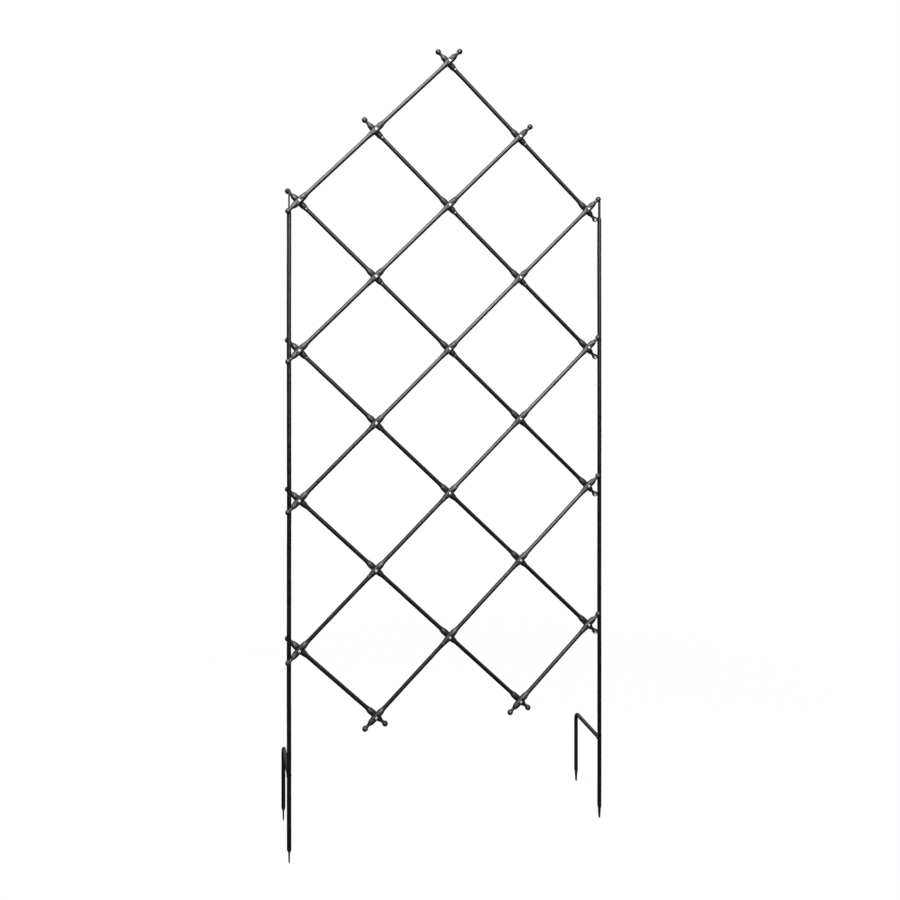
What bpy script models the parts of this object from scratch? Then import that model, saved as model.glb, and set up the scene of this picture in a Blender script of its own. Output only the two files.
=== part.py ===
"""Wrought iron diamond trellis on two spiked posts.

Six round bars slope one way in a front layer and six slope the other way in a rear layer. Where
two bars cross, each runs through a cast collar, the collars meet at filed seats, and one rivet goes
through both. Each bar ends in a cast finial, welded on: a collar half for the last crossing, a thin
neck and a ball. Along the sides the balls lap the two posts fore and aft and are welded there. Each
post has a bent prong behind it, so that the trellis stands on four spikes pushed into the soil.

Metres, +Z up. The origin is at soil level, midway between the posts. The front faces -Y and the
prongs reach towards +Y. The lattice hangs a few millimetres to the left of the middle.
"""

import math

import bmesh
import bpy
from mathutils import Matrix, Vector

# Lattice
DIAMOND_WIDTH = 0.345
DIAMOND_HEIGHT = 0.333
HALF_COLUMNS = 2
LAST_ROW = 9
LOWEST_CROSSING_HEIGHT = 0.118
LATTICE_SHIFT = -0.0050

# Bars, and the gap between pieces that touch
BAR_DIAMETER = 0.0095
SEAT_GAP = 0.0003

# Collars: what they stand proud of the bar, at distances along it from the rivet. A half of a collar
# is a bulb with a shoulder, or, below the rivet on the front bars, an even taper
BELLY_WALL = 0.0026
TAPER_REACH = 0.0050
BULB_REACH = 0.0150
SHOULDER_WALL = 0.0016
SHOULDER_REACH = 0.0195
LIP_WALL = 0.0008
LIP_REACH = 0.0225
COLLAR_REACH = 0.0240

# Filed flats on the collars: iron left over the bar where the layers meet and under a rivet head
SEAT_WALL = 0.0012
HEAD_PAD_WALL = 0.0013
FLAT_LENGTH = 0.0180

# Finials: from the rivet to the ball, and from the ball back to the shoulder under the neck
FRONT_BALL_REACH = 0.0345
REAR_BALL_REACH = 0.0330
BALL_DIAMETER = 0.0130
NECK_DIAMETER = 0.0074
SHOULDER_FROM_BALL = 0.0145
SHOULDER_FALL = 0.0065
SHOULDER_STEP = 0.0024
BALL_INSET = 0.0025

# Rivets
RIVET_DIAMETER = 0.0040
RIVET_HEAD_DIAMETER = 0.0068
RIVET_HEAD_HEIGHT = 0.0019

# Posts
POST_DIAMETER = 0.0100
POST_FOOT_DEPTH = 0.187
TONGUE_THICKNESS = 0.0034
TONGUE_BELOW_CROSSING = 0.018
TONGUE_ABOVE_CROSSING = 0.026

# Prongs
PRONG_DIAMETER = 0.0095
PRONG_REACH = 0.1475
PRONG_DEPTH = 0.169
PRONG_BEND_RADIUS = 0.014

# Chisel points, forged thin across the trellis and wide fore and aft
POINT_LENGTH = 0.023
POINT_SHOULDER = 0.006
POINT_THICKNESS = 0.0036
POINT_SPREAD = 0.0012
TIP_THICKNESS = 0.0020
TIP_WIDTH = 0.0060

# Facets round each kind of piece
BAR_SIDES = 8
RIVET_SIDES = 6
COPE_SIDES = 24
POST_BEVEL_RESOLUTION = 5
PRONG_BEVEL_RESOLUTION = 3
BALL_RINGS = 4
BEND_STEPS = 6

MERGE = 0.00001

BAR_RADIUS = BAR_DIAMETER / 2
BALL_RADIUS = BALL_DIAMETER / 2
NECK_RADIUS = NECK_DIAMETER / 2
POST_RADIUS = POST_DIAMETER / 2
PRONG_RADIUS = PRONG_DIAMETER / 2
RIVET_RADIUS = RIVET_DIAMETER / 2

BAR_PITCH = math.hypot(DIAMOND_WIDTH / 2, DIAMOND_HEIGHT / 2)
BAR_SLOPE = math.atan2(DIAMOND_HEIGHT, DIAMOND_WIDTH)
ROW_HEIGHT = DIAMOND_HEIGHT / 2


def corner(radius, sides=BAR_SIDES):
    """Corner radius of a polygon with as much area as the circle that it stands for."""
    return radius * math.sqrt(2 * math.pi / (sides * math.sin(2 * math.pi / sides)))


def flat(corner_radius, sides=BAR_SIDES):
    """Distance from the axis to the middle of a polygon's side."""
    return corner_radius * math.cos(math.pi / sides)


# A collar's sides lie along its bar's sides, but a rivet may stand at any turn in its hole
BORE_CORNER = corner(BAR_RADIUS) + SEAT_GAP / flat(1.0)
RIVET_HOLE_CORNER = (corner(RIVET_RADIUS, RIVET_SIDES) + SEAT_GAP) / flat(1.0, RIVET_SIDES)

# From a bar's axis to the face where the layers meet, and to the pad under a rivet head
SEAT_DISTANCE = flat(BORE_CORNER) + SEAT_WALL
HEAD_PAD_DISTANCE = flat(BORE_CORNER) + HEAD_PAD_WALL
LAYER_OFFSET = SEAT_DISTANCE + SEAT_GAP / 2

# The posts stand where the balls lap them
LATTICE_HALF_WIDTH = HALF_COLUMNS * DIAMOND_WIDTH / 2
MEAN_BALL_REACH = (FRONT_BALL_REACH + REAR_BALL_REACH) / 2
POST_X = LATTICE_HALF_WIDTH + MEAN_BALL_REACH * math.cos(BAR_SLOPE) + BALL_INSET


# Layout


def crossings():
    """Column and row of each rivet, from the top: every second place of the grid, under a gable."""
    return [
        (column, row)
        for row in range(LAST_ROW + 1)
        for column in range(-HALF_COLUMNS, HALF_COLUMNS + 1)
        if (column + row) % 2 == 0 and abs(column) <= row
    ]


def crossing_point(place, y=0.0):
    column, row = place
    height = LOWEST_CROSSING_HEIGHT + (LAST_ROW - row) * ROW_HEIGHT
    return Vector((LATTICE_SHIFT + column * DIAMOND_WIDTH / 2, y, height))


def bar_lines(layer):
    """Crossings along each bar, lowest first. Front bars rise to the right, rear bars to the left."""
    lean = 1 if layer == "front" else -1
    lines = {}
    for column, row in crossings():
        lines.setdefault(row + lean * column, []).append((column, row))
    return [sorted(line, key=lambda place: -place[1]) for _, line in sorted(lines.items())]


def bar_ends(layer):
    return {place for line in bar_lines(layer) for place in (line[0], line[-1])}


def inner_crossings():
    """Crossings that both bars run through, which have loose collars on them."""
    ends = bar_ends("front") | bar_ends("rear")
    return [place for place in crossings() if place not in ends]


def bar_frame(layer, point):
    """Matrix at a point: local Z up along the bar, local +Y towards the other layer."""
    lean = math.pi / 2 - BAR_SLOPE
    if layer == "front":
        return Matrix.Translation(point) @ Matrix.Rotation(lean, 4, "Y")
    half_turn = Matrix.Rotation(math.pi, 4, "Z")
    return Matrix.Translation(point) @ Matrix.Rotation(-lean, 4, "Y") @ half_turn


def layer_y(layer):
    return -LAYER_OFFSET if layer == "front" else LAYER_OFFSET


def ball_reach(layer):
    return FRONT_BALL_REACH if layer == "front" else REAR_BALL_REACH


def ball_set(layer, side):
    """How far a side ball stands out of its layer to lap its post, on side -1 or 1 of the lattice."""
    out = LATTICE_HALF_WIDTH + ball_reach(layer) * math.cos(BAR_SLOPE) - POST_X
    aside = side * out + LATTICE_SHIFT
    apart = POST_RADIUS + corner(BALL_RADIUS) + SEAT_GAP
    return math.sqrt(apart ** 2 - aside ** 2) - LAYER_OFFSET


# Scene helpers


def clear_scene():
    for old in list(bpy.data.objects):
        bpy.data.objects.remove(old, do_unlink=True)


def new_collection(name):
    collection = bpy.data.collections.new(name)
    bpy.context.scene.collection.children.link(collection)
    return collection


def paint(name, colour, roughness, metallic):
    material = bpy.data.materials.new(name)
    material.use_nodes = True
    shader = material.node_tree.nodes["Principled BSDF"]
    shader.inputs["Base Color"].default_value = (*colour, 1.0)
    shader.inputs["Roughness"].default_value = roughness
    shader.inputs["Metallic"].default_value = metallic
    return material


def link(name, data, collection, matrix=None):
    piece = bpy.data.objects.new(name, data)
    collection.objects.link(piece)
    if matrix is not None:
        piece.matrix_world = matrix
    return piece


def finish_piece(name, mesh, collection, material, matrix):
    """Put a finished piece in its place, shaded round, with its own material."""
    mesh.shade_smooth()
    mesh.set_sharp_from_angle(angle=math.radians(40))
    mesh.materials.clear()
    mesh.materials.append(material)
    return link(name, mesh, collection, matrix)


def bake(piece):
    """Mesh of the piece with its modifiers done and its seams welded. The piece is removed."""
    bpy.context.view_layer.update()
    evaluated = piece.evaluated_get(bpy.context.evaluated_depsgraph_get())
    mesh = bpy.data.meshes.new_from_object(evaluated)
    bm = bmesh.new()
    bm.from_mesh(mesh)
    bmesh.ops.remove_doubles(bm, verts=bm.verts, dist=MERGE)
    bm.to_mesh(mesh)
    bm.free()
    bpy.data.objects.remove(piece, do_unlink=True)
    return mesh


def turned_blank(name, profile, sides, collection, closed=False):
    """Solid turned about local Z from (radius, height) points that run down its outer side."""
    half_facet = math.pi / sides
    points = [(r * math.cos(half_facet), r * math.sin(half_facet), z) for r, z in profile]
    edges = [(i, i + 1) for i in range(len(points) - 1)]
    if closed:
        edges.append((len(points) - 1, 0))
    mesh = bpy.data.meshes.new(name)
    mesh.from_pydata(points, edges, [])
    blank = link(name, mesh, collection)
    screw = blank.modifiers.new("turn", "SCREW")
    screw.axis = "Z"
    screw.angle = 2 * math.pi
    screw.steps = sides
    screw.render_steps = sides
    screw.use_merge_vertices = True
    screw.merge_threshold = MERGE
    return blank


def add_prism(bm, sides, radius, depth, matrix):
    turn = Matrix.Rotation(math.pi / sides, 4, "Z")
    bmesh.ops.create_cone(
        bm,
        cap_ends=True,
        segments=sides,
        radius1=radius,
        radius2=radius,
        depth=depth,
        matrix=matrix @ turn,
    )


def add_box(bm, size, matrix):
    bmesh.ops.create_cube(bm, size=1.0, matrix=matrix @ Matrix.Diagonal((*size, 1.0)))


def cut(piece, name, bm, cutters):
    """Take a cutter, built in the piece's own frame, out of the piece."""
    mesh = bpy.data.meshes.new(name)
    bm.to_mesh(mesh)
    bm.free()
    tool = link(name, mesh, cutters)
    tool.hide_render = True
    tool.display_type = "WIRE"
    boolean = piece.modifiers.new(name, "BOOLEAN")
    boolean.operation = "DIFFERENCE"
    boolean.solver = "EXACT"
    boolean.object = tool


# Collars and bars, turned about local Z


def collar_half(kind):
    """Outer profile of half a collar, from near the rivet to its lip."""
    belly = BAR_RADIUS + BELLY_WALL
    lip = BAR_RADIUS + LIP_WALL
    end = [(lip, LIP_REACH), (lip, COLLAR_REACH)]
    if kind == "taper":
        return [(belly, TAPER_REACH)] + end
    return [(belly, BULB_REACH), (BAR_RADIUS + SHOULDER_WALL, SHOULDER_REACH)] + end


def lower_half(layer):
    return "taper" if layer == "front" else "bulb"


def collar_profile(layer, height):
    """Both halves of a collar's outer profile, from its upper end to its lower end."""
    upper = [(r, height + z) for r, z in reversed(collar_half("bulb"))]
    lower = [(r, height - z) for r, z in collar_half(lower_half(layer))]
    return upper + lower


def finial(layer):
    """Profile from the ball's pole towards the rivet: ball, neck, shoulder and belly."""
    reach = ball_reach(layer)
    join = math.pi - math.asin(NECK_RADIUS / BALL_RADIUS)
    angles = [(i + 1) * join / (BALL_RINGS + 1) for i in range(BALL_RINGS + 1)]
    ball = [(BALL_RADIUS * math.sin(a), reach + BALL_RADIUS * math.cos(a)) for a in angles]
    shoulder = reach - SHOULDER_FROM_BALL
    return [(0.0, reach + BALL_RADIUS)] + ball + [
        (NECK_RADIUS, shoulder + SHOULDER_STEP),
        (BAR_RADIUS + LIP_WALL, shoulder),
        (BAR_RADIUS + BELLY_WALL, shoulder - SHOULDER_FALL),
    ]


def bar_profile(layer, spaces, fixed):
    """Profile of a bar about its middle: a finial at each end, and the collars fixed on it."""
    top = spaces * BAR_PITCH / 2
    upper_end = [(r, top + z) for r, z in finial(layer)]
    upper_end += [(r, top - z) for r, z in collar_half(lower_half(layer))]
    upper_end += [(BAR_RADIUS, top - COLLAR_REACH)]
    middle = []
    for station in sorted(fixed, reverse=True):
        height = station * BAR_PITCH - top
        middle += [(BAR_RADIUS, height + COLLAR_REACH)]
        middle += collar_profile(layer, height)
        middle += [(BAR_RADIUS, height - COLLAR_REACH)]
    lower_end = [(BAR_RADIUS, COLLAR_REACH - top)]
    lower_end += [(r, z - top) for r, z in reversed(collar_half("bulb"))]
    lower_end += [(r, -top - z) for r, z in reversed(finial(layer))]
    return [(corner(r), z) for r, z in upper_end + middle + lower_end]


def add_flats(bm, height):
    """Boxes that file a collar at this height flat: its seat at +Y, its rivet pad at -Y."""
    depth = 4 * (BAR_RADIUS + BELLY_WALL)
    size = (depth, depth, FLAT_LENGTH)
    add_box(bm, size, Matrix.Translation((0, SEAT_DISTANCE + depth / 2, height)))
    add_box(bm, size, Matrix.Translation((0, -HEAD_PAD_DISTANCE - depth / 2, height)))


def add_rivet_hole(bm, height):
    across = Matrix.Translation((0, 0, height)) @ Matrix.Rotation(math.pi / 2, 4, "X")
    add_prism(bm, RIVET_SIDES, RIVET_HOLE_CORNER, 4 * (BAR_RADIUS + BELLY_WALL), across)


def bar_mesh(layer, spaces, fixed, collection, cutters):
    """Bar with its finials, filed flat at the collars fixed on it, and drilled at each crossing."""
    top = spaces * BAR_PITCH / 2
    profile = bar_profile(layer, spaces, fixed)
    blank = turned_blank("bar_blank", profile, BAR_SIDES, collection)
    files = bmesh.new()
    for height in [-top, top] + [station * BAR_PITCH - top for station in fixed]:
        add_flats(files, height)
    cut(blank, "bar_files", files, cutters)
    drills = bmesh.new()
    for station in range(spaces + 1):
        add_rivet_hole(drills, station * BAR_PITCH - top)
    cut(blank, "bar_drills", drills, cutters)
    return bake(blank)


def collar_mesh(layer, collection, cutters):
    """Loose collar, bored for its bar."""
    bore = [(BORE_CORNER, -COLLAR_REACH), (BORE_CORNER, COLLAR_REACH)]
    profile = [(corner(r), z) for r, z in collar_profile(layer, 0.0)] + bore
    blank = turned_blank("collar_blank", profile, BAR_SIDES, collection, closed=True)
    files = bmesh.new()
    add_flats(files, 0.0)
    cut(blank, "collar_files", files, cutters)
    drill = bmesh.new()
    add_rivet_hole(drill, 0.0)
    cut(blank, "collar_drill", drill, cutters)
    return bake(blank)


def set_end(mesh, layer, end, top, side):
    """Bend a bar's last stretch away from the other layer, so that its ball laps a post."""
    low = top + FLAT_LENGTH / 2
    high = top + ball_reach(layer) - math.sqrt(BALL_RADIUS ** 2 - NECK_RADIUS ** 2)
    for vertex in mesh.vertices:
        share = (end * vertex.co.z - low) / (high - low)
        vertex.co.y -= ball_set(layer, side) * min(max(share, 0.0), 1.0)


def build_bars(layer, trellis, cutters, material):
    """Bars of one layer, numbered from the top."""
    inner = inner_crossings()
    lean = 1 if layer == "front" else -1
    for number, line in enumerate(bar_lines(layer), start=1):
        spaces = len(line) - 1
        fixed = [i for i in range(1, spaces) if line[i] not in inner]
        mesh = bar_mesh(layer, spaces, fixed, trellis, cutters)
        for end, place in ((-1, line[0]), (1, line[-1])):
            side = end * lean
            if place[0] == side * HALF_COLUMNS:
                set_end(mesh, layer, end, spaces * BAR_PITCH / 2, side)
        y = layer_y(layer)
        middle = (crossing_point(line[0], y) + crossing_point(line[-1], y)) / 2
        name = "%s_bar_%d" % (layer, number)
        finish_piece(name, mesh, trellis, material, bar_frame(layer, middle))


# Posts and prongs


def round_rod(name, points, diameter, resolution, collection):
    """Rod along a run of points, with flat ends."""
    curve = bpy.data.curves.new(name, "CURVE")
    curve.dimensions = "3D"
    curve.bevel_depth = diameter / 2
    curve.bevel_resolution = resolution
    curve.use_fill_caps = True
    spline = curve.splines.new("POLY")
    spline.points.add(len(points) - 1)
    for point, place in zip(spline.points, points):
        point.co = (*place, 1.0)
    return bake(link(name, curve, collection))


def forge(mesh, axis_y, radius, sections):
    """Hammer the rod about x = 0, y = axis_y to (height, half thickness, half width) sections."""
    sections = sorted(sections)
    for vertex in mesh.vertices:
        for (z0, x0, y0), (z1, x1, y1) in zip(sections, sections[1:]):
            if z0 - MERGE <= vertex.co.z <= z1 + MERGE:
                share = (vertex.co.z - z0) / (z1 - z0)
                vertex.co.x *= (x0 + share * (x1 - x0)) / radius
                offset = (vertex.co.y - axis_y) * (y0 + share * (y1 - y0)) / radius
                vertex.co.y = axis_y + offset
                break


def point_sections(tip, radius):
    """Sections of a chisel point, from the round shank over a shoulder and a blade to the tip."""
    blade = tip + POINT_LENGTH
    return [
        (blade + POINT_SHOULDER, radius, radius),
        (blade, POINT_THICKNESS / 2, radius + POINT_SPREAD),
        (tip, TIP_THICKNESS / 2, TIP_WIDTH / 2),
    ]


def post_mesh(collection):
    """Post from its chisel point to the flat tongue between the two topmost balls."""
    side_crossing = crossing_point((HALF_COLUMNS, HALF_COLUMNS)).z
    tongue_foot = side_crossing - TONGUE_BELOW_CROSSING
    tongue = [
        (tongue_foot - POINT_SHOULDER, POST_RADIUS, POST_RADIUS),
        (tongue_foot, TONGUE_THICKNESS / 2, POST_RADIUS),
        (side_crossing + TONGUE_ABOVE_CROSSING, TONGUE_THICKNESS / 2, POST_RADIUS),
    ]
    sections = sorted(point_sections(-POST_FOOT_DEPTH, POST_RADIUS)) + tongue
    points = [(0, 0, height) for height, _, _ in sections]
    mesh = round_rod("post_rod", points, POST_DIAMETER, POST_BEVEL_RESOLUTION, collection)
    forge(mesh, 0.0, POST_RADIUS, sections)
    return mesh


def prong_mesh(collection, cutters):
    """Rod coped to the back of a post, which turns down and ends in a chisel point."""
    sections = point_sections(-PRONG_DEPTH, PRONG_RADIUS)
    bend_y = PRONG_REACH - PRONG_BEND_RADIUS
    bend_z = PRONG_RADIUS - PRONG_BEND_RADIUS
    points = [(0, 0, PRONG_RADIUS)]
    for i in range(BEND_STEPS + 1):
        turn = i * math.pi / 2 / BEND_STEPS
        y = bend_y + PRONG_BEND_RADIUS * math.sin(turn)
        points.append((0, y, bend_z + PRONG_BEND_RADIUS * math.cos(turn)))
    points += [(0, PRONG_REACH, height) for height, _, _ in sections]
    mesh = round_rod("prong_rod", points, PRONG_DIAMETER, PRONG_BEVEL_RESOLUTION, collection)
    forge(mesh, PRONG_REACH, PRONG_RADIUS, sections)
    blank = link("prong_blank", mesh, collection)
    cope = bmesh.new()
    cope_corner = (POST_RADIUS + SEAT_GAP) / flat(1.0, COPE_SIDES)
    place = Matrix.Translation((0, 0, PRONG_RADIUS))
    add_prism(cope, COPE_SIDES, cope_corner, 4 * PRONG_DIAMETER, place)
    cut(blank, "prong_cope", cope, cutters)
    return bake(blank)


def rivet_mesh(collection):
    """Rivet along local Z, with a low head on each side of the two collars."""
    grip = LAYER_OFFSET + HEAD_PAD_DISTANCE + SEAT_GAP
    profile = [
        (0.0, grip + RIVET_HEAD_HEIGHT),
        (RIVET_HEAD_DIAMETER / 2, grip),
        (RIVET_RADIUS, grip),
        (RIVET_RADIUS, -grip),
        (RIVET_HEAD_DIAMETER / 2, -grip),
        (0.0, -grip - RIVET_HEAD_HEIGHT),
    ]
    points = [(corner(r, RIVET_SIDES), z) for r, z in profile]
    return bake(turned_blank("rivet_blank", points, RIVET_SIDES, collection))


def main():
    clear_scene()
    trellis = new_collection("diamond_trellis")
    cutters = new_collection("cutters")
    bar_paint = paint("bar_black_paint", (0.020, 0.021, 0.023), 0.42, 0.0)
    collar_paint = paint("collar_black_paint", (0.017, 0.018, 0.021), 0.48, 0.0)
    post_paint = paint("post_black_paint", (0.018, 0.019, 0.021), 0.42, 0.0)
    prong_paint = paint("prong_black_paint", (0.015, 0.015, 0.017), 0.45, 0.0)
    rivet_zinc = paint("rivet_bright_zinc", (0.80, 0.80, 0.78), 0.32, 1.0)

    for layer in ("front", "rear"):
        build_bars(layer, trellis, cutters, bar_paint)
        collar = collar_mesh(layer, trellis, cutters)
        for number, place in enumerate(inner_crossings(), start=1):
            name = "%s_collar_%02d" % (layer, number)
            frame = bar_frame(layer, crossing_point(place, layer_y(layer)))
            finish_piece(name, collar, trellis, collar_paint, frame)

    rivet = rivet_mesh(trellis)
    across = Matrix.Rotation(math.pi / 2, 4, "X")
    for number, place in enumerate(crossings(), start=1):
        frame = Matrix.Translation(crossing_point(place)) @ across
        finish_piece("rivet_%02d" % number, rivet, trellis, rivet_zinc, frame)

    post = post_mesh(trellis)
    prong = prong_mesh(trellis, cutters)
    for side, x in (("left", -POST_X), ("right", POST_X)):
        frame = Matrix.Translation((x, 0, 0))
        finish_piece(side + "_post", post, trellis, post_paint, frame)
        finish_piece(side + "_prong", prong, trellis, prong_paint, frame)


main()
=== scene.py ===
"""Wrought iron diamond trellis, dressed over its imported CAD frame.

Every surface is a grid of points worked out with numpy: a turned profile, a rod carried along a
path or a forged section that changes along a post. Metres, +Z up, front towards -Y, in the CAD's
frame.
"""

import math

import bpy
import numpy as np
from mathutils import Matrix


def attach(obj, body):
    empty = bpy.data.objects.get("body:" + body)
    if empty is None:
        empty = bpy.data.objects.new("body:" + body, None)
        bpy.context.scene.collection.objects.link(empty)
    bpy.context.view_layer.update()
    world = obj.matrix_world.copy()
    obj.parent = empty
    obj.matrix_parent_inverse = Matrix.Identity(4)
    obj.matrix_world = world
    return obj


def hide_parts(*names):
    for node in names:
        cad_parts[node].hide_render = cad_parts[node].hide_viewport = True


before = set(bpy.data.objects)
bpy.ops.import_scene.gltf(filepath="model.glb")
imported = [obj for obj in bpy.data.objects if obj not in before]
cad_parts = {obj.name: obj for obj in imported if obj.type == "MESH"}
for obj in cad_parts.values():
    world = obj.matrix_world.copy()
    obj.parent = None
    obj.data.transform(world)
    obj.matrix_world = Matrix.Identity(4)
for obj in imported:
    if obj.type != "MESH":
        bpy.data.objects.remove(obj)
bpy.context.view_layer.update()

# Lattice, as in the CAD
DIAMOND_WIDTH = 0.345
DIAMOND_HEIGHT = 0.333
HALF_COLUMNS = 2
HALF_WIDTH = HALF_COLUMNS * DIAMOND_WIDTH / 2
LAST_ROW = 9
LOWEST_CROSSING = 0.118
LATTICE_SHIFT = -0.0050
BAR_SLOPE = math.atan2(DIAMOND_HEIGHT, DIAMOND_WIDTH)
BAR_PITCH = math.hypot(DIAMOND_WIDTH, DIAMOND_HEIGHT) / 2

# Front bars rise to the right and rear bars to the left
LEAN = {"front": 1, "rear": -1}

# Bars: radius, distance of the axis from the middle plane, distance of the ends from the last
# rivet's axis, and the step between rings of points
ROD = 0.00475
LAYER = 0.00628
ROD_END = 0.012
ROD_STEP = 0.0022

# Castings: their reach from the rivet, the rows of points from there to the rivet, how far a lip
# rolls outwards, the wall at the rivet, and knots of (distance from the rivet, wall over the rod)
# for a half with a bulb and a half with an even taper
CASTING_REACH = 0.024
HALF_ROWS = 30
LIP_ROUND = 0.00035
BELLY_WALL = 0.0026
BULB = [
    (0, BELLY_WALL), (0.008, BELLY_WALL), (0.014, 0.0025), (0.018, 0.0020), (0.0205, 0.0013),
    (0.0225, 0.00085), (CASTING_REACH, 0.0007),
]
CONE = [
    (0, BELLY_WALL), (0.005, BELLY_WALL), (0.010, 0.0020), (0.015, 0.0013), (0.020, 0.00085),
    (CASTING_REACH, 0.0006),
]

# Filed flats: from a bar's axis to where the layers meet, and to the pad under a rivet head, half
# their length along the bar, and how far their ends ease out on both sides of it
SEAT = 0.0061
PAD = 0.0062
FLAT_HALF = 0.0090
FLAT_EASE = 0.0006

# Finials: radii of ball and neck, distances along the bar from the rivet to the ball's middle and
# from there back to the shoulder, and the angle off the bar's axis where the neck joins the ball
BALL = 0.0065
NECK = 0.0037
BALL_REACH = {"front": 0.0345, "rear": 0.0330}
SHOULDER_FROM_BALL = 0.0145
BALL_JOIN = math.asin(NECK * 0.9 / BALL)

# Painted glint, near-white patches that stand in for a lamp's glints on the rear collars' lips and
# the side balls: the lowest row whose lips show it, how much it fades with each row as the light
# falls off lower down, where on a lip it lies and over what length it fades, the way that the
# spots on the balls face, and the angle over which all spots fade
PAINTED_GLINT_LAST_ROW = 4
PAINTED_GLINT_FADE = 0.11
PAINTED_GLINT_AT = -0.0226
PAINTED_GLINT_LENGTH = 0.0017
PAINTED_GLINT_WAY = np.array([-0.38, -0.91, -0.16])
PAINTED_GLINT_TURN = 0.55

# Rivets: radius and height of the heads, height of their rim, radius of the shank, and the depth
# over which a head narrows to it
RIVET_HEAD = 0.0034
RIVET_HEAD_HEIGHT = 0.0019
RIVET_RIM = 0.00035
RIVET_SHANK = 0.0020
RIVET_SINK = 0.0002

# Posts and prongs. The side balls' middles lie BALL_INSET inside the posts' axes, and tongues are
# measured from the topmost crossing at the posts
POST = 0.0050
MEAN_REACH = (BALL_REACH["front"] + BALL_REACH["rear"]) / 2
BALL_INSET = 0.0025
POST_X = HALF_WIDTH + MEAN_REACH * math.cos(BAR_SLOPE) + BALL_INSET
POST_TIP = -0.187
PRONG = 0.00475
PRONG_REACH = 0.1475
PRONG_TIP = -0.169
PRONG_BEND = 0.014
TONGUE_FOOT = -0.018
TONGUE_TOP = 0.026

# Forged ends: what a section's power adds to 2, how much paint is rubbed off, and the length of a
# point that has the finest rows
TONGUE_SQUARE = 2.5
POINT_SQUARE = 2.2
TONGUE_RUB = 0.5
POINT_RUB = 0.8
POINT_SPAN = 0.035

# Welds: how far a prong's bead stands off the rods' surfaces, and from a post to a side ball
WELD_PROUD = 0.0004
BALL_GAP = 0.0001

# Waves of uneven stock, as (turns in a metre, share)
STOCK_WAVES = ((11.0, 1.0), (27.0, 0.6), (63.0, 0.35))
ROD_WAVES = ((3.1, 1.0), (7.3, 0.5))
POST_WAVES = ((1.3, 1.0), (3.7, 0.4))


# Curves


def eased(knots, at):
    """Smooth line through (place, value) knots: cubic Hermite pieces whose slopes are the harmonic
    mean of the chords on both sides, or zero at a turn, so that no bump is added between knots."""
    x, y = np.asarray(knots, float).T
    step = np.diff(x)
    chord = np.diff(y) / step
    slope = np.zeros(len(x))
    same = chord[1:] * chord[:-1] > 0
    total = np.where(same, chord[1:] + chord[:-1], 1.0)
    slope[1:-1] = np.where(same, 2 * chord[1:] * chord[:-1] / total, 0.0)
    slope[0], slope[-1] = chord[0], chord[-1]
    at = np.clip(at, x[0], x[-1])
    i = np.clip(np.searchsorted(x, at) - 1, 0, len(x) - 2)
    h = step[i]
    t = (at - x[i]) / h
    return (
        y[i] * (1 + 2 * t) * (1 - t) ** 2
        + h * slope[i] * t * (1 - t) ** 2
        + y[i + 1] * t * t * (3 - 2 * t)
        - h * slope[i + 1] * t * t * (1 - t)
    )


def ramp(at, low, high):
    """0 below low, 1 above high, and 3t^2 - 2t^3 between them."""
    t = np.clip((at - low) / (high - low), 0.0, 1.0)
    return t * t * (3 - 2 * t)


def bell(at, centre, width):
    """Bell curve: e^-((at - centre) / width)^2."""
    return np.exp(-(((at - centre) / width) ** 2))


def pressed(y, plane, softness=0.00018):
    """y cut off at a plane with a rounded edge: y - w log(1 + e^((y - plane) / w)), where w is
    the softness."""
    return y - softness * np.logaddexp(0.0, (y - plane) / softness)


def swell(a, b, width):
    """Smooth greater of two profiles: half of a + b + the root of (a - b)^2 + width^2."""
    return 0.5 * (a + b + np.sqrt((a - b) ** 2 + width * width))


def waver(at, seed, size, waves=STOCK_WAVES):
    """Unevenness of hand-drawn stock: a sum of sines of the length, with phases from a seed."""
    phases = np.random.default_rng(seed).uniform(0, 2 * np.pi, len(waves))
    return size * sum(a * np.sin(2 * np.pi * w * at + p) for (w, a), p in zip(waves, phases))


def seed_of(name):
    """A seed from a name's letters, the same on every run."""
    return sum((i + 1) * ord(letter) for i, letter in enumerate(name)) % 9973


# Grids and pieces


def ring_angles(count):
    """Cosines and sines of count equal steps round an axis, as a row of a grid of rings."""
    angle = np.arange(count) * 2 * np.pi / count
    return np.cos(angle)[None, :], np.sin(angle)[None, :]


def turned(r, s, sides):
    """Profile of radii r and distances s, turned about the third axis by (r cos a, r sin a, s)."""
    cosine, sine = ring_angles(sides)
    return r[:, None] * cosine, r[:, None] * sine, np.repeat(s[:, None], sides, axis=1)


def write_values(mesh, name, values):
    """Keep a value for each point, for the material to read. Points past the last value get 0."""
    padded = np.zeros(len(mesh.vertices), np.float32)
    padded[: values.size] = values.ravel()
    mesh.attributes.new(name, "FLOAT", "POINT").data.foreach_set("value", padded)


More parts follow.
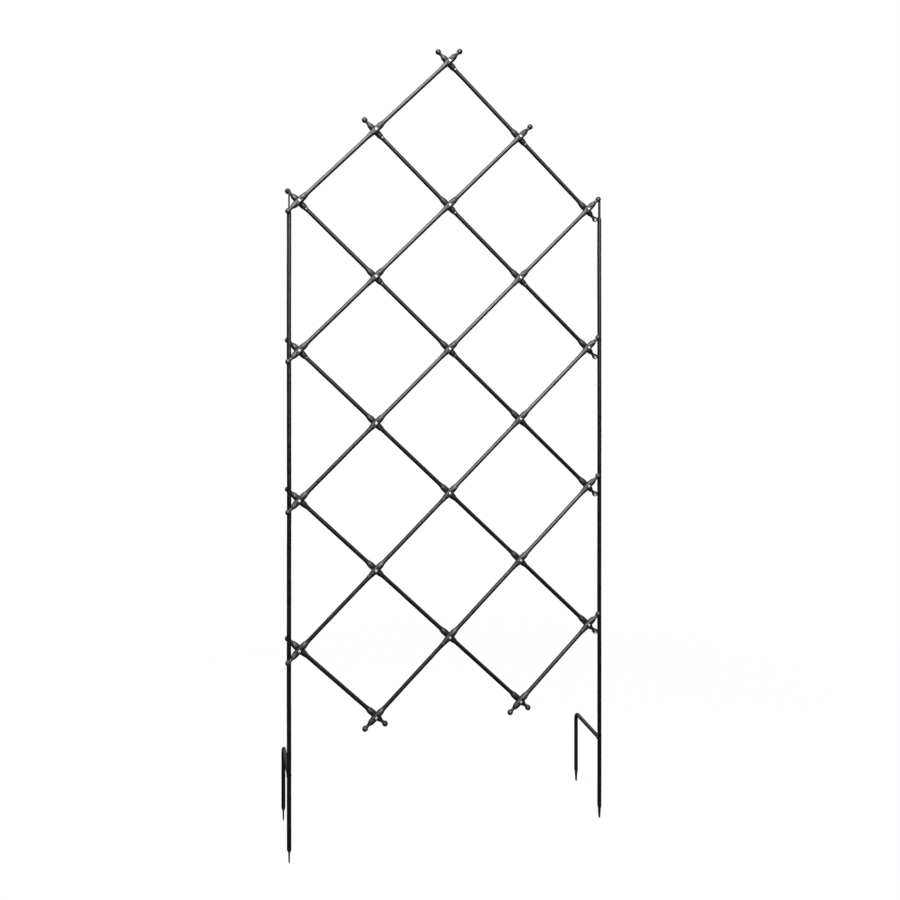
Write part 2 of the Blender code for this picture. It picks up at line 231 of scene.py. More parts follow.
def grid_piece(name, points, rub, painted_glint=None, looped=False):
    """Mesh of a (rows, sides, 3) grid of points, closed round its sides. Its ends are closed by a
    point at the middle of the first and last ring, or, if looped, the last row joins the first.
    rub says how much each row's paint is rubbed, and the glint values where a painted glint shows,
    a near-white patch that stands in for a lamp's glint, 0 to 1."""
    rows, sides, _ = points.shape
    corners = points.reshape(-1, 3)
    row = np.arange(rows if looped else rows - 1)[:, None]
    here = np.arange(sides)
    there = (here + 1) % sides
    above = (row + 1) % rows
    quads = np.stack(
        [row * sides + here, row * sides + there, above * sides + there, above * sides + here],
        axis=-1,
    ).reshape(-1, 4)
    loops, sizes = quads.ravel(), np.full(len(quads), 4)
    if not looped:
        low, high, last = rows * sides, rows * sides + 1, (rows - 1) * sides
        foot = np.stack([np.full(sides, low), there, here], axis=1)
        head = np.stack([np.full(sides, high), last + here, last + there], axis=1)
        corners = np.vstack([corners, points[0].mean(axis=0), points[-1].mean(axis=0)])
        loops = np.concatenate([loops, foot.ravel(), head.ravel()])
        sizes = np.concatenate([sizes, np.full(2 * sides, 3)])
    starts = np.concatenate([[0], np.cumsum(sizes)[:-1]])
    mesh = bpy.data.meshes.new(name)
    mesh.vertices.add(len(corners))
    mesh.vertices.foreach_set("co", corners.astype(np.float32).ravel())
    mesh.loops.add(len(loops))
    mesh.loops.foreach_set("vertex_index", loops.astype(np.int32))
    mesh.polygons.add(len(sizes))
    mesh.polygons.foreach_set("loop_start", starts.astype(np.int32))
    mesh.update(calc_edges=True)
    write_values(mesh, "rub", np.repeat(rub[:, None], sides, axis=1))
    if painted_glint is not None:
        write_values(mesh, "painted_glint", painted_glint)
    mesh.validate()
    mesh.shade_smooth()
    piece = bpy.data.objects.new(name, mesh)
    bpy.context.scene.collection.objects.link(piece)
    return piece


def wear(piece, material, slot_name, *nodes):
    """Give a piece its finish, let it ride on the part and stand for its CAD nodes."""
    piece.data.materials.append(material)
    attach(piece, "root")
    if nodes:
        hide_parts(*nodes)


# Layout


def crossings():
    """Column and row of each rivet, from the top, under a gable."""
    return [
        (column, row)
        for row in range(LAST_ROW + 1)
        for column in range(-HALF_COLUMNS, HALF_COLUMNS + 1)
        if (column + row) % 2 == 0 and abs(column) <= row
    ]


def crossing_point(place, y=0.0):
    """Point of a crossing, given as (column, row), at a depth y."""
    column, row = place
    height = LOWEST_CROSSING + (LAST_ROW - row) * DIAMOND_HEIGHT / 2
    return np.array([LATTICE_SHIFT + column * DIAMOND_WIDTH / 2, y, height])


def bar_lines(layer):
    """Crossings along each bar, lowest first."""
    lines = {}
    for column, row in crossings():
        lines.setdefault(row + LEAN[layer] * column, []).append((column, row))
    return [sorted(line, key=lambda place: -place[1]) for _, line in sorted(lines.items())]


def bar_axes(layer):
    """Across, towards the other layer, and up along the bar."""
    lean = LEAN[layer]
    along = np.array([lean * math.cos(BAR_SLOPE), 0, math.sin(BAR_SLOPE)])
    inward = np.array([0, lean, 0])
    return np.cross(inward, along), inward, along


def placed(local, layer, point):
    """Local (across, inward, along) points put on a bar of a layer at a point."""
    return point + local @ np.stack(bar_axes(layer))


def layer_y(layer):
    """Depth of the axes of a layer's bars."""
    return -LEAN[layer] * LAYER


def end_side(layer, end):
    """Side of the lattice, -1 or 1, to which a bar's upper (1) or lower (-1) end points."""
    return LEAN[layer] * end


def laps_post(place, side):
    """Whether the bar that ends at a crossing, pointing to a side, ends at that side's post."""
    return place[0] == side * HALF_COLUMNS


def ball_offset(layer, side):
    """How far a side ball's centre lies to the right of its post's axis."""
    return side * (HALF_WIDTH + BALL_REACH[layer] * math.cos(BAR_SLOPE) - POST_X) + LATTICE_SHIFT


def ball_set(layer, side):
    """How far a side ball stands out of its layer, so that it touches the post's round side."""
    lap = math.sqrt((POST + BALL + BALL_GAP) ** 2 - ball_offset(layer, side) ** 2)
    return lap - LAYER


# Castings and rods, turned about the bar


def half_wall(knots, distance):
    """Radius of a collar half at a distance from its rivet, through its knots."""
    return eased([(place, ROD + wall) for place, wall in knots], distance)


def filed(y, along):
    """Flatten a casting where the layers meet and under its rivet head, within FLAT_HALF of the
    rivet."""
    near = 1 - ramp(np.abs(along), FLAT_HALF - FLAT_EASE, FLAT_HALF + FLAT_EASE)
    seat = pressed(y, SEAT)
    pad = -pressed(-y, PAD)
    return y + near * (seat - y) + near * (pad - y)


def rolled_lip(outer, turn):
    """Radii of a lip that rolls from its outer radius, at turn 0, to the bore, at half a turn."""
    return (outer + ROD) / 2 + (outer - ROD) / 2 * np.cos(turn)


def lip_painted_glint(layer, place, along, x, y):
    """Painted glint on the lip under the rivet, on the side of a rear casting that faces the
    front: a near-white patch that stands in for a lamp's glint. Two bell curves, of the distance
    from the lip and of the angle from the front. Only in the upper rows, and less in each lower
    one, as the light falls off lower down."""
    row = place[1]
    if layer == "front" or row > PAINTED_GLINT_LAST_ROW:
        return np.zeros_like(along)
    from_front = np.arctan2(y, x) - np.pi / 2
    lip = bell(along, PAINTED_GLINT_AT, PAINTED_GLINT_LENGTH)
    return (1 - PAINTED_GLINT_FADE * row) * lip * bell(from_front, 0, PAINTED_GLINT_TURN)


def ball_painted_glint(points, s, reach):
    """Painted glint on the ball of a finial, a near-white patch that stands in for a lamp's glint:
    a bell curve of the angle from the way it faces, seen from the ball's middle. s is each row's
    distance from the rivet and reach the ball's."""
    around = points - points[s > reach - BALL * 0.5].mean(axis=(0, 1))
    towards = around @ PAINTED_GLINT_WAY / np.linalg.norm(around, axis=2)
    angle = np.arccos(np.clip(towards, -1, 1))
    return bell(angle, 0, PAINTED_GLINT_TURN) * (s > reach - BALL)[:, None]


def collar_piece(name, layer, place, halves, sides=48):
    """Cast collar: the outer profile from one lip over the belly to the other lip, and back
    through the bore, turned about the bar and filed flat at the rivet."""
    low, high = halves
    below = -np.linspace(CASTING_REACH, 0, HALF_ROWS, endpoint=False)
    s_outer = np.concatenate([below, np.linspace(0, CASTING_REACH, HALF_ROWS + 1)])
    r_outer = np.where(s_outer < 0, half_wall(low, -s_outer), half_wall(high, s_outer))
    turn = np.linspace(0, np.pi, 6)[1:-1]
    lip = CASTING_REACH + LIP_ROUND * np.sin(turn)
    bore_end = 0.0235
    s = np.concatenate([s_outer, lip, [bore_end, 0, -bore_end], -lip])
    high_lip, low_lip = rolled_lip(r_outer[-1], turn), rolled_lip(r_outer[0], np.pi - turn)
    r = np.concatenate([r_outer, high_lip, [ROD, ROD, ROD], low_lip])
    outer = (np.arange(len(r)) < len(r_outer))[:, None]
    x, y, z = turned(r, s, sides)
    y = np.where(outer, filed(y, z), y)
    seed = seed_of(name)
    dent = 1 + waver(z, seed, 0.006) + 0.004 * np.sin(3 * np.arctan2(y, x) + seed)
    # Painted glint on the rear lips: a near-white patch that stands in for a lamp's glint
    painted_glint = lip_painted_glint(layer, place, z, x, y) * outer
    local = np.stack([x * np.where(outer, dent, 1), y, z], axis=2)
    rub = bell(np.abs(s), 0.0195, 0.0022) * outer[:, 0]
    points = placed(local, layer, crossing_point(place, layer_y(layer)))
    return grid_piece(name, points, rub, painted_glint, looped=True)


def neck_top(layer):
    """Distance from the rivet at which a finial's neck runs into its ball."""
    return BALL_REACH[layer] - BALL * math.cos(BALL_JOIN)


def finial_profile(layer, inner_half):
    """Distances from the rivet and radii of a ball finial: rolled lip, collar half, belly,
    shoulder and neck, and a ball that meets the neck in a small hollow."""
    reach = BALL_REACH[layer]
    shoulder = reach - SHOULDER_FROM_BALL
    top = neck_top(layer)
    s_half = -np.linspace(CASTING_REACH, 0, HALF_ROWS, endpoint=False)
    s_neck = np.linspace(0, top, 52, endpoint=False)
    r_neck = eased([
        (0, ROD + BELLY_WALL), (0.0060, ROD + BELLY_WALL), (shoulder - 0.0075, ROD + 0.0023),
        (shoulder - 0.0025, ROD + 0.0016), (shoulder, ROD + 0.0006),
        (shoulder + 0.0022, NECK + 0.0004), (shoulder + 0.0042, NECK), (top, NECK),
    ], s_neck)
    t = np.linspace(math.pi - BALL_JOIN, 0.0, 34, endpoint=False)
    s = np.concatenate([s_half, s_neck, reach + BALL * np.cos(t)])
    r = np.concatenate([half_wall(inner_half, -s_half), r_neck, BALL * np.sin(t)])
    ball = np.sqrt(np.clip(BALL ** 2 - (s - reach) ** 2, 0, None))
    hollow = (swell(r, ball, 0.0011) - np.maximum(r, ball)) * ramp(s, shoulder, shoulder + 0.003)
    r = r + hollow * (1 - ramp(s, reach - 0.004, reach - 0.001))
    turn = np.linspace(1, 0, 4, endpoint=False) * np.pi / 2
    bore = ROD * 0.96
    s = np.concatenate([s[0] - 0.0003 * np.sin(turn), s])
    return s, np.concatenate([bore + (r[0] - bore) * np.cos(turn), r])


def finial_piece(name, layer, place, end, inner_half, sides=48):
    """Ball finial, turned about the bar and filed flat at the rivet. At a post its neck bends out
    of the layer, so that the ball laps the post. end is 1 at a bar's upper end and -1 at its lower
    end."""
    reach = BALL_REACH[layer]
    shoulder = reach - SHOULDER_FROM_BALL
    side = end_side(layer, end)
    s, r = finial_profile(layer, inner_half)
    x, y, z = turned(r, s, sides)
    y = filed(y, z)
    if laps_post(place, side):
        y = y - ball_set(layer, side) * ramp(z, FLAT_HALF, neck_top(layer))
    x = x * (1 + waver(z, seed_of(name), 0.005))
    # Painted glint: near-white patches that stand in for a lamp's glint, on the rear lips and on
    # the rear balls that lap a post
    painted_glint = lip_painted_glint(layer, place, z, x, y) if end > 0 else np.zeros_like(z)
    if end < 0:
        x, z = -x, -z
    points = placed(np.stack([x, y, z], axis=2), layer, crossing_point(place, layer_y(layer)))
    if layer == "rear" and end < 0 and laps_post(place, side):
        painted_glint = ball_painted_glint(points, s, reach)
    rub = bell(s, shoulder - 0.002, 0.002) + 0.8 * ramp(s, reach + BALL * 0.5, reach + BALL)
    return grid_piece(name, points, rub, painted_glint)


def rod_piece(name, layer, line, sides=28):
    """Round bar from inside one finial to inside the other, a little uneven from the hammer, and
    swollen where its paint gathers at a collar's lip."""
    start, stop = (crossing_point(place, layer_y(layer)) for place in (line[0], line[-1]))
    length = float(np.linalg.norm(stop - start))
    s = np.linspace(ROD_END, length - ROD_END, int(length / ROD_STEP))
    from_rivet = np.abs(s / BAR_PITCH - np.round(s / BAR_PITCH)) * BAR_PITCH
    seed = seed_of(name)
    gathered = 0.00045 * np.exp(-np.clip(from_rivet - CASTING_REACH, 0, None) / 0.0035)
    x, y, z = turned(ROD + waver(s, seed, 0.00005) + gathered, s, sides)
    x = x + waver(z, seed + 1, 0.00006, ROD_WAVES)
    return grid_piece(name, placed(np.stack([x, y, z], axis=2), layer, start), np.zeros(len(s)))


def rivet_piece(name, place, sides=32):
    """Rivet with a hammered button head on each side: a flattened dome over a short rim."""
    grip = LAYER + PAD
    t = np.linspace(0, np.pi / 2, 12)
    dome_r = RIVET_HEAD * np.sin(t) ** 0.85
    dome_s = grip + RIVET_RIM + (RIVET_HEAD_HEIGHT - RIVET_RIM) * np.cos(t) ** 0.8
    shank_r = [RIVET_HEAD, RIVET_SHANK, RIVET_SHANK, RIVET_HEAD]
    shank_s = [grip, grip - RIVET_SINK, RIVET_SINK - grip, -grip]
    r = np.concatenate([dome_r[1:], shank_r, dome_r[:0:-1]])
    s = np.concatenate([dome_s[1:], shank_s, -dome_s[:0:-1]])
    cosine, sine = ring_angles(sides)
    seed = seed_of(name)
    turn = np.arctan2(sine, cosine)
    uneven = 1 + 0.02 * np.sin(2 * turn + seed) + 0.012 * np.sin(5 * turn + 2 * seed)
    x, z, y = turned(r, s, sides)
    points = np.stack([x * uneven, y, z * uneven], axis=2) + crossing_point(place)
    return grid_piece(name, points, np.clip(1.15 - r / RIVET_HEAD, 0, 1))


# Posts, prongs and welds


def forged_grid(path, thick, wide, square, sides):
    """Section carried along a path of points: a superellipse with half sizes thick (along X) and
    wide (across X and the path) and power 2 + square, so that a rod runs into a flat blade."""
    sideways = np.array([1.0, 0, 0])
    ahead = np.gradient(path, axis=0)
    ahead /= np.linalg.norm(ahead, axis=1)[:, None]
    third = np.cross(ahead, sideways)
    third /= np.linalg.norm(third, axis=1)[:, None]
    cosine, sine = ring_angles(sides)
    power = 2 / (2 + square)[:, None]
    a = np.sign(cosine) * np.abs(cosine) ** power * thick[:, None]
    b = np.sign(sine) * np.abs(sine) ** power * wide[:, None]
    return path[:, None, :] + a[:, :, None] * sideways + b[:, :, None] * third[:, None, :]


def point_knots(tip, radius):
    """Half thickness and half width of a chisel point, as (place, size) knots from its tip up to a
    rod of a radius."""
    thick = [(0, 0.0012), (0.004, 0.0016), (0.022, 0.0019), (0.030, radius)]
    wide = [(0, 0.0026), (0.003, 0.0034), (0.023, radius + 0.0010), (0.031, radius)]
    return [[(tip + place, size) for place, size in knots] for knots in (thick, wide)]


def post_piece(name, side, sides=40):
    """Post: round rod, drawn out to a chisel point below and to a thin flat tongue above."""
    top_crossing = crossing_point((HALF_COLUMNS, HALF_COLUMNS))[2]
    foot, top = top_crossing + TONGUE_FOOT, top_crossing + TONGUE_TOP
    z = np.concatenate([
        np.linspace(POST_TIP, POST_TIP + POINT_SPAN, 40, endpoint=False),
        np.linspace(POST_TIP + POINT_SPAN, foot - 0.012, 620, endpoint=False),
        np.linspace(foot - 0.012, top, 60),
    ])
    thick, wide = point_knots(POST_TIP, POST)
    thick += [(foot - 0.008, POST), (foot, 0.0019), (top - 0.003, 0.0017), (top, 0.0012)]
    wide += [(foot - 0.009, POST), (foot, POST), (top - 0.004, POST), (top, 0.0030)]
    pointed = 1 - ramp(z, POST_TIP + 0.020, POST_TIP + 0.032)
    square = POINT_SQUARE * pointed + TONGUE_SQUARE * ramp(z, foot - 0.008, foot)
    seed = seed_of(name)
    half_thick = eased(thick, z) * (1 + waver(z, seed, 0.008))
    half_wide = eased(wide, z) * (1 + waver(z, seed + 1, 0.008))
    x = side * POST_X + waver(z, seed + 2, 0.00018, POST_WAVES)
    path = np.stack([x, np.zeros_like(z), z], axis=1)
    rub = POINT_RUB * (1 - ramp(z, POST_TIP, POST_TIP + 0.03))
    rub = rub + TONGUE_RUB * ramp(z, foot - 0.002, top)
    return grid_piece(name, forged_grid(path, half_thick, half_wide, square, sides), rub)


def prong_path():
    """Arm, quarter bend and leg of a prong, as a column of y and a column of z."""
    arm = np.linspace(POST * 0.6, PRONG_REACH - PRONG_BEND, 60, endpoint=False)
    turn = np.linspace(0, np.pi / 2, 24, endpoint=False)
    leg = np.concatenate([
        np.linspace(PRONG - PRONG_BEND, PRONG_TIP + POINT_SPAN, 60, endpoint=False),
        np.linspace(PRONG_TIP + POINT_SPAN, PRONG_TIP, 40),
    ])
    y = [arm, PRONG_REACH - PRONG_BEND + PRONG_BEND * np.sin(turn), np.full(len(leg), PRONG_REACH)]
    z = [np.full(len(arm), PRONG), PRONG - PRONG_BEND + PRONG_BEND * np.cos(turn), leg]
    return np.concatenate(y), np.concatenate(z)


def prong_piece(name, side, sides=36):
    """Prong: one round rod along the soil, bent down and drawn out to a chisel point."""
    y, z = prong_path()
    path = np.stack([np.full(len(y), side * POST_X), y, z], axis=1)
    far = 1.0
    left = np.where(y > PRONG_REACH - 1e-6, z - PRONG_TIP, far)
    thick, wide = (eased(knots + [(far, PRONG)], left) for knots in point_knots(0, PRONG))
    square = POINT_SQUARE * (1 - ramp(left, 0.020, 0.032))
    rub = POINT_RUB * (1 - ramp(left, 0.0, 0.03))
    return grid_piece(name, forged_grid(path, thick, wide, square, sides), rub)


def bead_piece(name, ring, thickness, ripples, sides=14):
    """Weld bead: a round section carried round a closed ring of points, thicker at each ripple."""
    ahead = np.roll(ring, -1, axis=0) - np.roll(ring, 1, axis=0)
    ahead /= np.linalg.norm(ahead, axis=1)[:, None]
    outward = ring - ring.mean(axis=0)
    outward -= (outward * ahead).sum(axis=1)[:, None] * ahead
    outward /= np.linalg.norm(outward, axis=1)[:, None]
    third = np.cross(ahead, outward)
    turn = np.arange(len(ring)) * 2 * np.pi / len(ring)
    r = thickness * (1 + 0.10 * np.abs(np.sin(ripples * turn / 2)) + 0.05 * np.sin(3 * turn + 1))
    cosine, sine = ring_angles(sides)
    points = (
        ring[:, None, :]
        + (r[:, None] * cosine)[:, :, None] * outward[:, None, :]
        + (r[:, None] * sine)[:, :, None] * third[:, None, :]
    )
    return grid_piece(name, points, np.full(len(ring), 0.3), looped=True)


def prong_weld(name, side):
    """Bead where a prong's arm meets its post: x = r cos t, z = r sin t, and y on the post."""
    t = np.linspace(0, 2 * np.pi, 72, endpoint=False)
    x = PRONG * np.cos(t)
    y = np.sqrt((POST + WELD_PROUD) ** 2 - np.clip(np.abs(x), 0, POST) ** 2)
    z = PRONG + (PRONG + WELD_PROUD) * np.sin(t)
    ring = np.stack([side * POST_X + x, y, z], axis=1)
    return bead_piece(name, ring, thickness=0.0011, ripples=22)


def ball_weld(name, layer, place, side, end):
    """Small ring of weld round the spot where a side ball touches its post: an upright ellipse."""
    _, inward, along = bar_axes(layer)
    centre = crossing_point(place, layer_y(layer)) + end * BALL_REACH[layer] * along
    centre = centre - ball_set(layer, side) * inward
    post = np.array([side * POST_X, 0.0, centre[2]])
    way = centre - post
    way /= np.linalg.norm(way)
    spot = post + way * (POST + BALL_GAP)
    up = np.array([0, 0, 1.0])
    level = np.cross(way, up)
    half_width, half_height = 0.0024, 0.0034
    t = np.linspace(0, 2 * np.pi, 40, endpoint=False)[:, None]
    ring = spot + half_width * np.cos(t) * level + half_height * np.sin(t) * up
    return bead_piece(name, ring, thickness=0.0010, ripples=14, sides=12)


# Shader nodes


def feed(tree, socket, given):
    """Link a socket to the one given, or set it to the number or colour given."""
    if isinstance(given, bpy.types.NodeSocket):
        tree.links.new(given, socket)
    else:
        socket.default_value = given


def node(tree, kind, **settings):
    """New node. Settings with a capital first letter are its input sockets, others its values."""
    made = tree.nodes.new(kind)
    for key, value in settings.items():
        if key[0].isupper():
            feed(tree, made.inputs[key.replace("_", " ")], value)
        else:
            setattr(made, key, value)
    return made


def math_node(tree, operation, a, b, clamp=False):
    """Math of two sockets or numbers. Returns its value."""
    made = node(tree, "ShaderNodeMath", operation=operation, use_clamp=clamp)
    feed(tree, made.inputs[0], a)
    feed(tree, made.inputs[1], b)
    return made.outputs[0]


def centred(tree, value, share):
    """Value from 0 to 1, less a half, times a share."""
    return math_node(tree, "MULTIPLY", math_node(tree, "SUBTRACT", value, 0.5), share)


def mix_colour(tree, share, a, b):
    """Mix of two colours by a share. Returns the colour."""
    made = node(tree, "ShaderNodeMix", data_type="RGBA")
    for i, given in ((0, share), (6, a), (7, b)):
        feed(tree, made.inputs[i], given)
    return made.outputs[2]


def spread(tree, value, low, high, out_low, out_high):
    """Value taken from the range low..high to out_low..out_high, smoothly, and held outside it."""
    made = node(tree, "ShaderNodeMapRange", interpolation_type="SMOOTHSTEP")
    for i, given in enumerate((value, low, high, out_low, out_high)):
        feed(tree, made.inputs[i], given)
    return made.outputs[0]


def noise(tree, place, scale, detail=3.0, rough=0.55):
    """Noise at a place. Returns its value, from 0 to 1."""
    made = node(
        tree, "ShaderNodeTexNoise", Vector=place, Scale=scale, Detail=detail, Roughness=rough
    )
    return made.outputs["Fac"]


def object_place(tree):
    """Place on a piece, in its own frame."""
    return node(tree, "ShaderNodeTexCoord").outputs["Object"]


def point_value(tree, name):
    """The value that a piece keeps at each point under a name."""
    return node(tree, "ShaderNodeAttribute", attribute_name=name).outputs["Fac"]


def roughen(tree, shader, height, strength, distance):
    """Bump a shader's surface by a height."""
    bump = node(tree, "ShaderNodeBump", Strength=strength, Distance=distance, Height=height)
    tree.links.new(bump.outputs["Normal"], shader.inputs["Normal"])


# Shader groups


def group(name, inputs, outputs):
    """Empty shader group with named sockets. Returns the tree, its input and its output node."""
    tree = bpy.data.node_groups.new(name, "ShaderNodeTree")
    for in_out, sockets in (("INPUT", inputs), ("OUTPUT", outputs)):
        for label, kind in sockets:
            tree.interface.new_socket(label, in_out=in_out, socket_type="NodeSocket" + kind)
    return tree, tree.nodes.new("NodeGroupInput"), tree.nodes.new("NodeGroupOutput")


def black_coat_group():
    """Black paint on iron: cloudy colour, patchy gloss, orange peel, hammer dents and grit."""
    tree, given, put = group(
        "black_coat",
        [
            ("Dark", "Color"), ("Light", "Color"), ("Gloss", "Float"), ("Patch", "Float"),
            ("Peel", "Float"), ("Dents", "Float"), ("Grit", "Float"),
        ],
        [("Color", "Color"), ("Roughness", "Float"), ("Height", "Float")],
    )
    asked = given.outputs
    place = object_place(tree)
    cloud = spread(tree, noise(tree, place, 38.0, 4.0), 0.32, 0.68, 0.0, 1.0)
    patch = centred(tree, noise(tree, place, asked["Patch"], 3.0), 0.4)
    fine = centred(tree, noise(tree, place, 900.0, 2.0), 0.12)
    shift = math_node(tree, "ADD", patch, fine)
    peel = math_node(tree, "MULTIPLY", noise(tree, place, 520.0, 1.0), asked["Peel"])
    cells = node(
        tree, "ShaderNodeTexVoronoi", feature="SMOOTH_F1", Vector=place, Scale=150.0,
        Smoothness=0.8,
    )
    dents = math_node(tree, "MULTIPLY", cells.outputs["Distance"], asked["Dents"])
    grit = math_node(tree, "MULTIPLY", noise(tree, place, 1800.0, 2.0), asked["Grit"])
    height = math_node(tree, "ADD", math_node(tree, "MULTIPLY", peel, 0.35), dents)
    height = math_node(tree, "ADD", height, math_node(tree, "MULTIPLY", grit, 0.4))
    rough = math_node(tree, "ADD", asked["Gloss"], shift, clamp=True)
    feed(tree, put.inputs["Color"], mix_colour(tree, cloud, asked["Dark"], asked["Light"]))
    feed(tree, put.inputs["Roughness"], rough)
    feed(tree, put.inputs["Height"], height)
    return tree


def rubbed_edge_group():
    """Mask of bare iron: the piece's rub value, broken up by noise, less all that is unworn."""
    tree, given, put = group("rubbed_edge", [("Amount", "Float")], [("Mask", "Float")])
    broken = centred(tree, noise(tree, object_place(tree), 260.0, 5.0, 0.65), 0.9)
    reach = math_node(tree, "MULTIPLY", point_value(tree, "rub"), given.outputs["Amount"])
    level = math_node(tree, "ADD", reach, broken)
    feed(tree, put.inputs["Mask"], spread(tree, level, 0.42, 0.62, 0.0, 1.0))
    return tree


def settled_dust_group():
    """Mask of pale dust: more where a face looks up, in patches."""
    tree, given, put = group("settled_dust", [("Amount", "Float")], [("Mask", "Float")])
    normal = node(tree, "ShaderNodeNewGeometry").outputs["Normal"]
    facing = node(tree, "ShaderNodeSeparateXYZ", Vector=normal)
    up = spread(tree, facing.outputs["Z"], 0.1, 1.0, 0.25, 1.0)
    patches = noise(tree, object_place(tree), 75.0, 5.0, 0.65)
    patches = spread(tree, patches, 0.35, 0.75, 0.0, 1.0)
    dust = math_node(tree, "MULTIPLY", up, patches)
    feed(tree, put.inputs["Mask"], math_node(tree, "MULTIPLY", dust, given.outputs["Amount"]))
    return tree


COAT = black_coat_group()
RUBBED = rubbed_edge_group()
DUST = settled_dust_group()


# Materials

DUST_COLOUR = (0.20, 0.195, 0.185, 1.0)
BARE_IRON = (0.23, 0.22, 0.21, 1.0)
# Near-white of the painted glints, patches that stand in for a lamp's glint
PAINTED_GLINT_WHITE = (0.86, 0.86, 0.84, 1.0)


def new_material(name):
    """Material with nodes. Returns it, its tree and its shader."""
    material = bpy.data.materials.new(name)
    material.use_nodes = True
    tree = material.node_tree
    return material, tree, tree.nodes["Principled BSDF"]


def placed_group(tree, shared, **values):
    """A shared group in a tree, with its inputs set. Returns its outputs."""
    made = node(tree, "ShaderNodeGroup", node_tree=shared)
    for key, value in values.items():
        made.inputs[key].default_value = value
    return made.outputs


def painted_iron(name, index, rubbed, dust, relief, **coat):
    """Satin black paint over iron, with bare iron where it is rubbed, a little dust on top, and a
    painted glint: near-white where a piece's glint values run high, standing in for a lamp's
    glint. The coat's values go to the black_coat group."""
    material, tree, shader = new_material(name)
    paint = placed_group(tree, COAT, **coat)
    worn = placed_group(tree, RUBBED, Amount=rubbed)["Mask"]
    dusty = placed_group(tree, DUST, Amount=dust)["Mask"]
    # Painted glint: a near-white patch, broken up by noise, that stands in for a lamp's glint
    glint_breakup = math_node(tree, "MULTIPLY", noise(tree, object_place(tree), 1100.0, 4.0), 0.5)
    glint_level = math_node(tree, "SUBTRACT", point_value(tree, "painted_glint"), glint_breakup)
    colour = mix_colour(tree, dusty, paint["Color"], DUST_COLOUR)
    colour = mix_colour(tree, worn, colour, BARE_IRON)
    colour = mix_colour(tree, spread(tree, glint_level, 0.12, 0.28, 0.0, 1.0), colour, PAINTED_GLINT_WHITE)
    matt = math_node(tree, "MULTIPLY", dusty, 0.3)
    rough = math_node(tree, "ADD", paint["Roughness"], matt, clamp=True)
    feed(tree, shader.inputs["Base Color"], colour)
    feed(tree, shader.inputs["Roughness"], rough)
    feed(tree, shader.inputs["Metallic"], math_node(tree, "MULTIPLY", worn, 0.85))
    shader.inputs["IOR"].default_value = index
    roughen(tree, shader, paint["Height"], 0.35, relief)
    return material


def zinc_rivet():
    """Bright zinc, hammered and finely scratched, with black paint left round the rim."""
    material, tree, shader = new_material("bright_zinc_rivet")
    place = object_place(tree)
    edge = centred(tree, noise(tree, place, 900.0), 0.35)
    edge = math_node(tree, "ADD", point_value(tree, "rub"), edge)
    mask = spread(tree, edge, 0.20, 0.34, 0.0, 1.0)
    clouds = noise(tree, place, 420.0)
    bright = mix_colour(tree, clouds, (0.74, 0.75, 0.75, 1.0), (0.92, 0.92, 0.90, 1.0))
    colour = mix_colour(tree, mask, (0.018, 0.019, 0.021, 1.0), bright)
    rough = spread(tree, noise(tree, place, 700.0), 0.3, 0.7, 0.26, 0.46)
    feed(tree, shader.inputs["Base Color"], colour)
    feed(tree, shader.inputs["Metallic"], math_node(tree, "MULTIPLY", mask, 0.55))
    feed(tree, shader.inputs["Roughness"], rough)
    roughen(tree, shader, noise(tree, place, 650.0, 2.0), 0.4, 0.0003)
    return material


ROD_PAINT = painted_iron(
    "satin_black_rod", index=1.7, rubbed=0.35, dust=0.02, relief=0.0005,
    Dark=(0.0020, 0.0022, 0.0025, 1), Light=(0.006, 0.0063, 0.0070, 1),
    Gloss=0.25, Patch=70.0, Peel=0.6, Dents=0.5, Grit=0.1,
)
CASTING_PAINT = painted_iron(
    "satin_black_casting", index=1.85, rubbed=0.50, dust=0.03, relief=0.0006,
    Dark=(0.0020, 0.0022, 0.0025, 1), Light=(0.006, 0.0064, 0.0070, 1),
    Gloss=0.45, Patch=180.0, Peel=0.8, Dents=0.4, Grit=1.0,
)
POST_PAINT = painted_iron(
    "satin_black_post", index=1.7, rubbed=0.45, dust=0.02, relief=0.0005,
    Dark=(0.0015, 0.0016, 0.0019, 1), Light=(0.004, 0.0043, 0.0048, 1),
    Gloss=0.31, Patch=70.0, Peel=0.6, Dents=0.6, Grit=0.1,
)
PRONG_PAINT = painted_iron(
    "satin_black_prong", index=1.7, rubbed=0.45, dust=0.04, relief=0.0005,
    Dark=(0.0015, 0.0015, 0.0017, 1), Light=(0.004, 0.004, 0.0043, 1),
    Gloss=0.36, Patch=70.0, Peel=0.6, Dents=0.6, Grit=0.2,
)
WELD_PAINT = painted_iron(
    "black_weld", index=1.7, rubbed=0.40, dust=0.03, relief=0.0004,
    Dark=(0.002, 0.002, 0.0023, 1), Light=(0.006, 0.006, 0.0065, 1),
    Gloss=0.36, Patch=120.0, Peel=0.4, Dents=0.3, Grit=0.6,
)
ZINC = zinc_rivet()


# The trellis


END_PLACES = {
    place for layer in LEAN for line in bar_lines(layer) for place in (line[0], line[-1])
}
INNER = [place for place in crossings() if place not in END_PLACES]

# Lower and upper half of a collar
HALVES = {"front": (CONE, BULB), "rear": (BULB, BULB)}


